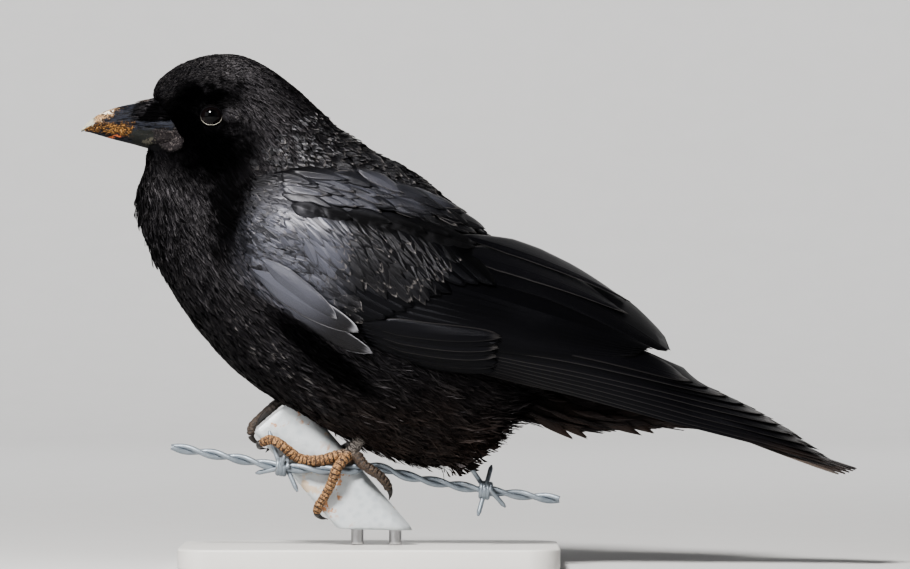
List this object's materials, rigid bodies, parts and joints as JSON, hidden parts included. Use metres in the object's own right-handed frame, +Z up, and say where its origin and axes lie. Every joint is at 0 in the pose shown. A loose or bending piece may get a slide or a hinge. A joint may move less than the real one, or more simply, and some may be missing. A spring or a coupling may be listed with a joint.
{
  "type": "life-size model of a perched crow",
  "caption": "Still life-size black crow in side pose, gripping a sloping galvanised arm and barbed wire, on a flat display base.",
  "frame": {"origin": "middle of the stand base's underside", "axes": "+Z up; +X from the bill towards the tail; the bird's left side faces -Y"},
  "size_m": [0.3689, 0.115, 0.2433],
  "materials": {
    "plumage": "soft black body feathers with a faint grey-blue sheen, solid mesh vanes",
    "flight_feathers": "smooth black wing and tail feathers with a silky blue sheen",
    "bill": "slate-black horn with a worn cream tip and dried mud along the cutting edges",
    "eye": "wet dark brown iris with a black pupil",
    "toe_skin": "scaly toes, dusty orange-brown over dark grey",
    "claw": "dark horn",
    "galvanised_steel": "weathered pale zinc with rust freckles",
    "wire": "dull zinc-coated steel wire",
    "stand_base": "satin warm grey paint",
    "stand_rod": "plain ground steel"
  },
  "bodies": {
    "root": {"head": "plumage", "bill_upper": "bill", "bill_lower": "bill", "eye_left": "eye", "eye_right": "eye", "neck": "plumage", "trunk": "plumage", "tail": "flight_feathers", "undertail": "plumage", "wing_left_coverts": "plumage", "wing_left_alula": "flight_feathers", "wing_left_secondaries": "flight_feathers", "wing_left_primaries": "flight_feathers", "leg_left": "toe_skin", "foot_left": "toe_skin", "claw_left_middle": "claw", "claw_left_outer": "claw", "claw_left_back": "claw", "claw_left_inner": "claw", "wing_right_coverts": "plumage", "wing_right_alula": "flight_feathers", "wing_right_secondaries": "flight_feathers", "wing_right_primaries": "flight_feathers", "leg_right": "toe_skin", "foot_right": "toe_skin", "claw_right_middle": "claw", "claw_right_inner": "claw", "claw_right_outer": "claw", "claw_right_back": "claw", "perch_arm": "galvanised_steel", "perch_wire": "wire", "stand_base": "stand_base", "stand_rod_1": "stand_rod", "stand_rod_2": "stand_rod"}
  },
  "joints": []
}
